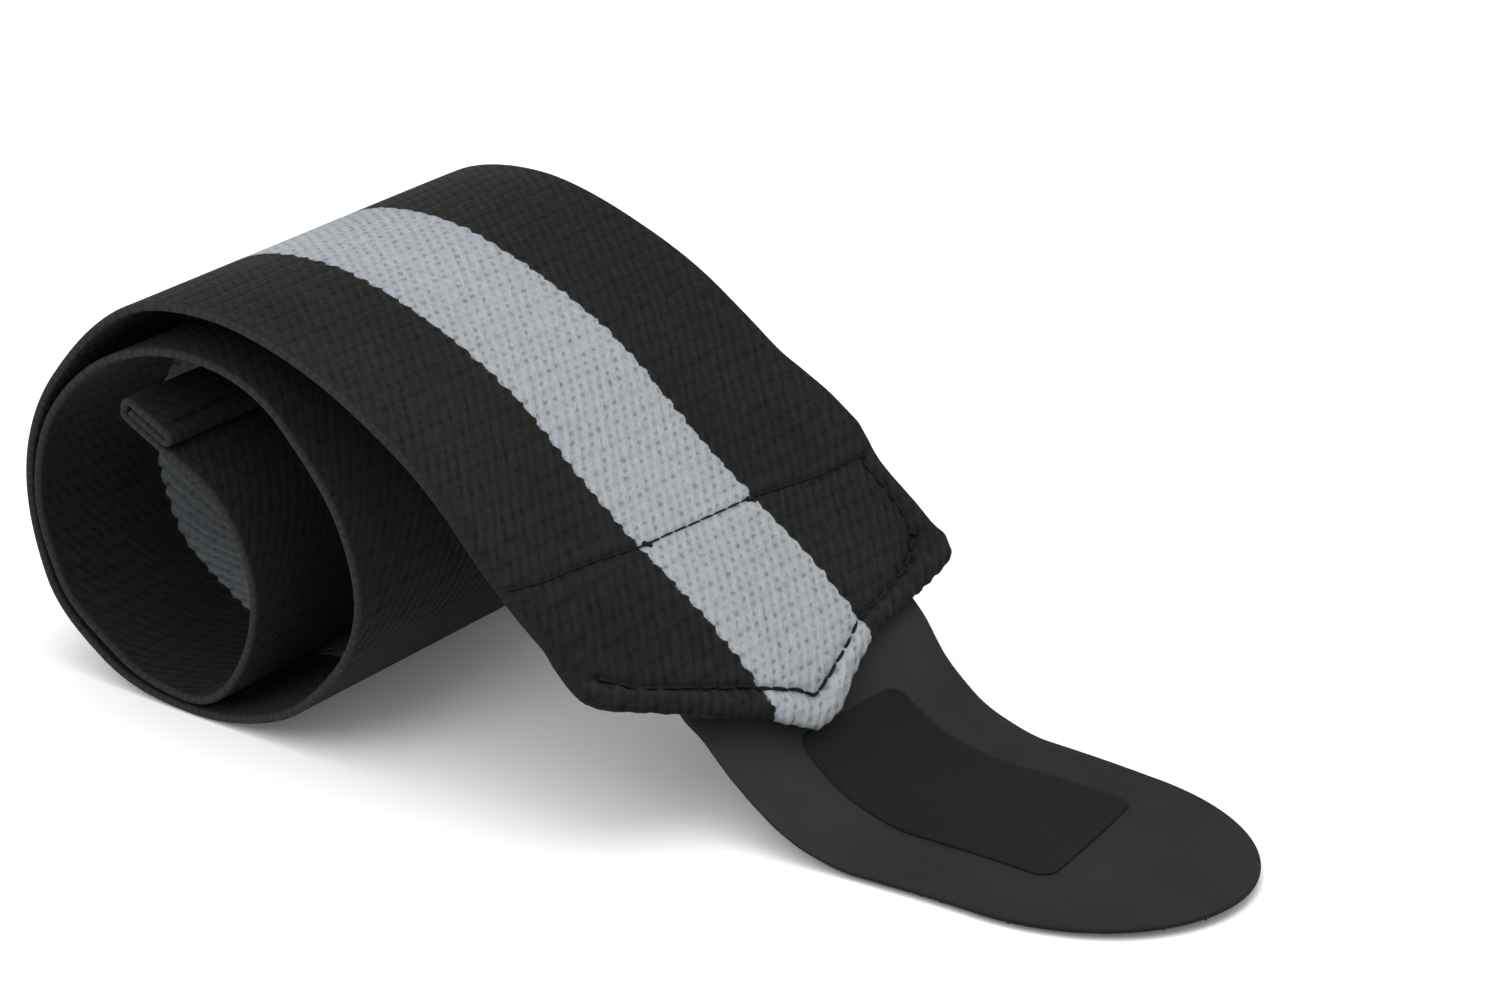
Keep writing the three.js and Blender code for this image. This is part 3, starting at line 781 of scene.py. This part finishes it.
def woven_material():
    n = Nodes("woven_elastic")
    vec, s, y, face = n.attr("flat")
    two_pi = 2 * math.pi
    drift = n.less(n.noise(n.join(n.mul(s, 0.05), n.mul(y, 0.05), face), 1.0, 2.0), 0.5)
    # diagonal ribs and picks; their crossings are the weave's small holes
    jitter = n.less(n.noise(n.join(n.mul(s, 0.55), n.mul(y, 0.62), n.plus(face, 7.0)), 1.0, 1.0), 0.5)
    rib = n.plus(n.plus(n.plus(n.mul(s, 1 / PICK), n.mul(y, 1 / RIB)), n.mul(drift, 0.9)), n.mul(jitter, 0.5))
    pick = n.plus(n.plus(n.mul(s, 2 / PICK), n.mul(drift, 0.5)), n.mul(jitter, 0.7))
    rib_c = n.op("COSINE", n.mul(rib, two_pi))
    pick_c = n.op("COSINE", n.mul(pick, two_pi))
    half_c = n.op("COSINE", n.mul(pick, math.pi))
    # yarn fibres along the ribs
    along = n.plus(n.mul(s, 0.81), n.mul(y, -0.58))
    across = n.plus(n.mul(s, 0.58), n.mul(y, 0.81))
    fibre = n.noise(n.join(n.mul(along, 0.75), n.mul(across, 3.4), face), 1.0, 3.0, 0.6)
    fine = n.noise(n.join(s, y, face), 3.1, 2.0, 0.6)
    cell = n.step(n.noise(n.join(n.mul(s, 0.42), n.mul(y, 0.5), face), 1.0, 2.0), 0.38, 0.62, 0.12, 1.0)
    hole = n.mul(n.mul(n.step(rib_c, -0.1, 1.0), n.step(pick_c, -0.3, 1.0)), cell)
    # a second, fainter set of holes half way between the ribs
    hole = n.plus(hole, n.mul(n.mul(n.step(n.mul(rib_c, -1.0), 0.1, 1.0), n.step(n.mul(pick_c, -1.0), 0.0, 1.0)), n.mul(cell, 0.35)))
    thread = n.plus(n.plus(n.mul(rib_c, -0.30), n.mul(pick_c, -0.10)), n.mul(half_c, -0.18))
    coarse = n.noise(n.join(n.mul(along, 0.28), n.mul(across, 1.25), n.plus(face, 3.0)), 1.0, 2.0, 0.55)
    # stripe with a stepped edge
    jog = n.mul(n.less(n.noise(n.join(n.mul(s, 0.3), face), 1.0, 1.0), 0.5), 1.6)
    bumps = n.op("ABSOLUTE", n.op("SINE", n.plus(n.mul(s, math.pi / PICK), jog)))
    bumps2 = n.op("ABSOLUTE", n.op("SINE", n.plus(n.plus(n.mul(s, math.pi / PICK), 0.6), jog)))
    lo = n.less(STRIPE[0] + 0.30, n.mul(bumps, n.step(cell, 0.3, 1.0, 0.40, 0.72)))
    hi = n.plus(STRIPE[1] - 0.30, n.mul(bumps2, n.step(cell, 0.3, 1.0, 0.40, 0.72)))
    ragged = n.mul(n.less(fine, 0.5), 0.6)
    yy = n.plus(y, ragged)
    stripe = n.mul(n.step(n.less(yy, lo), -0.14, 0.16), n.step(n.less(hi, yy), -0.14, 0.16))
    # outward face of the roll's inner turns: plain dark
    plain = n.mul(n.step(face, -0.1, 0.1), n.step(s, PLAIN_TO - 9.0, PLAIN_TO, 1.0, 0.0))
    stripe = n.mul(stripe, n.less(1.0, plain))
    height = n.plus(n.plus(thread, n.mul(n.less(fibre, 0.5), 0.55)), n.mul(hole, n.step(stripe, 0, 1, -0.22, -0.5, False)))
    height = n.plus(height, n.mul(n.less(coarse, 0.5), 0.8))
    # painted highlights on ridges and painted shade in seam grooves, read per point
    painted_relief_light = n.add("ShaderNodeAttribute", attribute_name="painted_relief_light", attribute_type="GEOMETRY").outputs["Fac"]
    # slow tone changes, and a painted highlight on the selvedges
    slow = n.noise(n.join(n.mul(s, 0.022), n.mul(y, 0.04), face), 1.0, 2.0)
    tone = n.step(slow, 0.3, 0.7, 0.93, 1.08, False)
    rim = n.step(n.op("MINIMUM", y, n.less(WIDTH, y)), 0.15, 0.95, 1.0, 0.0)
    light = n.plus(n.plus(0.80, n.mul(n.less(fibre, 0.5), 0.40)), n.mul(thread, 0.17))
    light = n.plus(n.less(light, n.mul(hole, 0.30)), n.mul(n.less(coarse, 0.5), 0.42))
    light = n.plus(light, n.mul(painted_relief_light, 0.14))
    # the light yarn is painted darker on the inward face, as shade inside the roll, and darkest there at the roll's
    # top (s 113 to 165), as painted shade under the turn above
    top = n.mul(n.step(s, 113.0, 126.0), n.step(s, 150.0, 165.0, 1.0, 0.0))
    inner = n.step(face, -0.2, 0.2, 1.0, 0.0)
    inner = n.less(1.0, n.mul(inner, n.plus(0.28, n.mul(top, 0.52))))
    pale = n.scale(n.mix(n.step(fine, 0.35, 0.7), PALE_A, PALE_B), n.mul(n.mul(n.plus(light, 0.20), tone), inner))
    shade = n.plus(n.plus(0.98, n.mul(thread, 0.55)), n.mul(n.less(fibre, 0.5), 1.2))
    shade = n.plus(shade, n.plus(n.mul(n.less(coarse, 0.5), 1.5), n.mul(painted_relief_light, 0.42)))
    shade = n.op("MAXIMUM", n.less(shade, n.mul(hole, 0.20)), 0.25)
    dark = n.scale(n.mix(n.step(slow, 0.35, 0.65), DARK_A, DARK_B), n.mul(shade, tone))
    # picks turn round the selvedge as small loops
    loops = n.op("COSINE", n.mul(s, two_pi / 1.44))
    # the selvedges are painted lighter than the faces as a highlight, less so towards the point
    edge = n.scale(RIM_PAINTED_LIGHT, n.mul(n.plus(0.94, n.mul(loops, 0.14)), n.step(s, 385.0, 425.0, 1.0, 0.5)))
    body = n.mix(stripe, dark, pale)
    colour = n.mix(rim, body, edge)
    n.bump(n.plus(height, n.mul(n.mul(loops, rim), 0.25)), BUMP)
    return n.finish(colour, n.step(fibre, 0.3, 0.7, 0.86, 0.97, False), **{
        "Sheen_Weight": 0.02, "Sheen_Roughness": 0.5, "Specular_IOR_Level": 0.10})


def tape_material():
    n = Nodes("hook_tape")
    vec, u, y, face = n.attr("flat")
    # fine brushed knit: short courses across, with a faint diagonal
    wale = n.op("COSINE", n.mul(y, 2 * math.pi / 0.62))
    course = n.op("COSINE", n.mul(n.plus(u, n.mul(y, 0.35)), 2 * math.pi / 0.9))
    fuzz = n.noise(n.join(u, y, face), 2.2, 4.0, 0.65)
    cloud = n.noise(n.join(n.mul(u, 0.045), n.mul(y, 0.07), face), 1.0, 3.0)
    h = n.plus(n.plus(n.mul(wale, 0.16), n.mul(course, 0.12)), n.mul(n.less(fuzz, 0.5), 0.9))
    k = n.mul(n.plus(1.0, n.plus(n.mul(n.less(fuzz, 0.5), 0.42), n.mul(n.mul(wale, course), 0.05))),
              n.step(cloud, 0.3, 0.7, 0.90, 1.10, False))
    base = n.mix(n.step(cloud, 0.35, 0.7), TAPE_A, TAPE_B)
    # painted light: the tape is lighter on the sloping part and on its near side, and darker at the flat end
    k = n.mul(k, n.step(u, 26.0, 76.0, 1.34, 0.86))
    k = n.mul(k, n.plus(1.0, n.mul(n.step(u, 40.0, 70.0, 0.30, 0.0), n.step(y, TAB_Y - 20.0, TAB_Y + 4.0, 1.0, 0.0))))
    cut = n.step(n.op("ABSOLUTE", face), 0.35, 0.97)       # cut edge, a little darker
    under = n.step(face, -0.9, -0.5)
    colour = n.scale(base, n.mul(k, n.mul(n.step(cut, 0, 1, 0.72, 1.0), n.step(under, 0, 1, 0.7, 1.0))))
    n.bump(h, 0.00010)
    return n.finish(colour, n.step(fuzz, 0.3, 0.7, 0.78, 0.92, False), **{
        "Sheen_Weight": 0.02, "Sheen_Roughness": 0.45, "Specular_IOR_Level": 0.12})


def hook_material():
    n = Nodes("hook_plastic")
    g = n.add("ShaderNodeTexCoord").outputs["Object"]
    f = n.noise(g, 900.0, 2.0)
    colour = n.scale(n.mix(n.step(f, 0.3, 0.7), rgb(24), rgb(32)), 1.0)
    return n.finish(colour, n.step(f, 0.3, 0.7, 0.38, 0.55, False), **{"Specular_IOR_Level": 0.45})


def patch_material():
    n = Nodes("plain_patch")
    vec, u, y, face = n.attr("flat")
    grain = n.noise(n.join(u, y, face), 2.6, 4.0, 0.6)
    weave = n.mul(n.op("COSINE", n.mul(u, 2 * math.pi / 0.5)), n.op("COSINE", n.mul(y, 2 * math.pi / 0.5)))
    cloud = n.noise(n.join(n.mul(u, 0.05), n.mul(y, 0.08), face), 1.0, 2.0)
    # painted shade: the patch is darker towards its flat end
    k = n.mul(n.plus(0.97, n.plus(n.mul(n.less(grain, 0.5), 0.16), n.mul(weave, 0.03))), n.mul(n.step(cloud, 0.3, 0.7, 0.95, 1.06, False), n.step(u, 48.0, 76.0, 1.0, 0.76)))
    # painted light: the patch's side faces are lighter, cancelling their shade
    edge = n.step(n.op("ABSOLUTE", face), 0.3, 0.98, 1.8, 1.0)
    colour = n.scale(n.mix(grain, PATCH_A, PATCH_B), n.mul(k, edge))
    n.bump(n.plus(n.mul(weave, 0.3), n.mul(grain, 0.6)), 0.00005)
    return n.finish(colour, n.step(grain, 0.3, 0.7, 0.66, 0.8, False), **{"Specular_IOR_Level": 0.10})


def strap_material():
    n = Nodes("strap_elastic")
    vec, s, t, face = n.attr("flat")
    rib = n.op("COSINE", n.mul(t, 2 * math.pi / 1.37))
    pick = n.op("COSINE", n.mul(s, 2 * math.pi / 0.95))
    fibre = n.noise(n.join(n.mul(s, 0.9), n.mul(t, 3.5), face), 1.0, 3.0, 0.6)
    h = n.plus(n.plus(n.mul(rib, 0.25), n.mul(pick, 0.22)), n.mul(n.less(fibre, 0.5), 0.6))
    k = n.plus(n.plus(1.0, n.mul(rib, 0.12)), n.plus(n.mul(pick, 0.10), n.mul(n.less(fibre, 0.5), 0.6)))
    slow = n.noise(n.join(n.mul(s, 0.04), n.mul(t, 0.1), face), 1.0, 2.0)
    colour = n.scale(n.mix(slow, rgb(23), rgb(28, 28, 27)), k)
    n.bump(h, 0.00012)
    return n.finish(colour, n.step(fibre, 0.3, 0.7, 0.84, 0.96, False), **{
        "Sheen_Weight": 0.02, "Sheen_Roughness": 0.5, "Specular_IOR_Level": 0.10})


def thread_material(name, a, b):
    n = Nodes(name)
    g = n.add("ShaderNodeTexCoord").outputs["Object"]
    f = n.noise(g, 2600.0, 3.0, 0.6, 0.4)
    colour = n.scale(n.mix(n.step(f, 0.35, 0.65), a, b), 1.0)
    n.bump(f, 0.00006)
    return n.finish(colour, n.step(f, 0.3, 0.7, 0.6, 0.8, False), **{"Specular_IOR_Level": 0.12})


PLAIN_TO = 268.0
PALE_A, PALE_B = rgb(132, 137, 141), rgb(142, 147, 151)
DARK_A, DARK_B = rgb(20, 20, 19), rgb(24, 24, 23)
# selvedge colour, painted lighter as a highlight
RIM_PAINTED_LIGHT = rgb(39, 39, 38)
TAPE_A, TAPE_B = rgb(29, 29, 29), rgb(33, 33, 31)
PATCH_A, PATCH_B = rgb(18, 18, 18), rgb(20, 20, 20)
BUMP = 0.00022

# ------------------------------------------------------------------- pieces
band = make_band()
tab = make_tab()
hooks = make_hooks()
patch = make_patch()
strap = make_strap()

woven, tape, hook_m, patch_m, strap_m = woven_material(), tape_material(), hook_material(), patch_material(), strap_material()
thread = thread_material("seam_thread", rgb(8), rgb(20))
thread_dark = thread_material("seam_thread_dark", rgb(8), rgb(17))
for ob, m in ((band, woven), (tab, tape), (hooks, hook_m), (patch, patch_m), (strap, strap_m)):
    ob.data.materials.append(m)

knot = lambda s, v: [seam_run([(s - a, v - b), (s + a, v + b)], -0.05) for a, b in ((0.75, 0.004), (0.55, 0.009), (0.15, 0.011))]
cross = stitches("seam_cross", [seam_run(CROSS_SEAM, -0.12)], 2.9, 0.25, 0.15, 0.06)
point = stitches("seam_point", [seam_run(POINT_SEAM, -0.22)], 3.1, 0.25, 0.28, 0.16)
knots = stitches("seam_knots", knot(427.75, 0.357) + knot(429.3, 0.655) + knot(446.0, 0.931), 1.5, 0.1, 0.24, 0.05)
side_seam = stitches("seam_side", [seam_run(SIDE_SEAM, -0.12)], 2.9, 0.5, 0.24, 0.10)
lay = CLOTH + 0.05
hem_seam = stitches("seam_hem", [hem_run(8.3, 2 * lay + CLOTH / 2 + 0.02, 2.0, WIDTH - 2.0)], 3.0, 0.5, 0.24, 0.08)
loop_seam = stitches("seam_loop", [strap_run(y, -3.6, 3.6, 5.42 + STRAP / 2 + 0.02) for y in (59.0, 60.1, 72.4, 73.5)]
                     + [], 1.5, 0.18, 0.24, 0.18)
for ob in (cross, point, knots):
    ob.data.materials.append(thread)
for ob in (side_seam, hem_seam, loop_seam):
    ob.data.materials.append(thread_dark)

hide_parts("wrap_band")
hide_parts("hook_tab")
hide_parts("blank_patch")
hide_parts("thumb_loop")
for ob in (band, tab, hooks, patch, strap, cross, point, knots, side_seam, hem_seam, loop_seam):
    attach(ob, "root")

ys = np.linspace(0, WIDTH, 2000)
flat_len = TIP - hem_path()[0][0] + 0.5
cut_area = float(np.mean(end_at(ys) - hem_path()[0][0] + 0.5)) * WIDTH * 1e-6

# --------------------------------------------------------------------- stage
me = bpy.data.meshes.new("floor")
me.from_pydata([(-4, -4, 0), (4, -4, 0), (4, 4, 0), (-4, 4, 0)], [], [(0, 1, 2, 3)])
floor = bpy.data.objects.new("floor", me)
bpy.context.scene.collection.objects.link(floor)
fm = Nodes("floor_pale")
# the floor glows faintly, adding light that keeps its shadows pale
floor.data.materials.append(fm.finish((0.86, 0.86, 0.86, 1.0), 0.9, **{
    "Specular_IOR_Level": 0.1, "Emission_Color": (1.0, 1.0, 1.0, 1.0), "Emission_Strength": 0.05}))

world = bpy.data.worlds.new("studio")
bpy.context.scene.world = world
world.use_nodes = True
world.node_tree.nodes["Background"].inputs[0].default_value = (1.0, 1.0, 1.0, 1.0)
world.node_tree.nodes["Background"].inputs[1].default_value = 1.0


def area(name, where, aim, size, power):
    from mathutils import Vector
    d = bpy.data.lights.new(name, "AREA")
    d.shape, d.size, d.energy = "DISK", size, power
    o = bpy.data.objects.new(name, d)
    o.location = where
    o.rotation_euler = (Vector(aim) - Vector(where)).to_track_quat("-Z", "Y").to_euler()
    bpy.context.scene.collection.objects.link(o)
    return o


area("key", (0.12, -0.12, 1.25), (0, 0, 0), 1.0, 7.0)
area("front", (0.10, -1.0, 1.05), (0, 0, 0.02), 0.9, 5.5)

cam = bpy.data.cameras.new("camera")
cam.lens, cam.sensor_width, cam.sensor_fit = 112.8, 36.0, "HORIZONTAL"
cam.clip_start, cam.clip_end = 0.01, 50
camera = bpy.data.objects.new("camera", cam)
camera.location = (0.38617, -0.51386, 0.31149)
camera.rotation_euler = (math.radians(66.5), 0.0, math.radians(37.1107))
bpy.context.scene.collection.objects.link(camera)
bpy.context.scene.camera = camera
bpy.context.scene.view_settings.view_transform = "Standard"
bpy.context.scene.view_settings.look = "None"

bpy.context.view_layer.update()
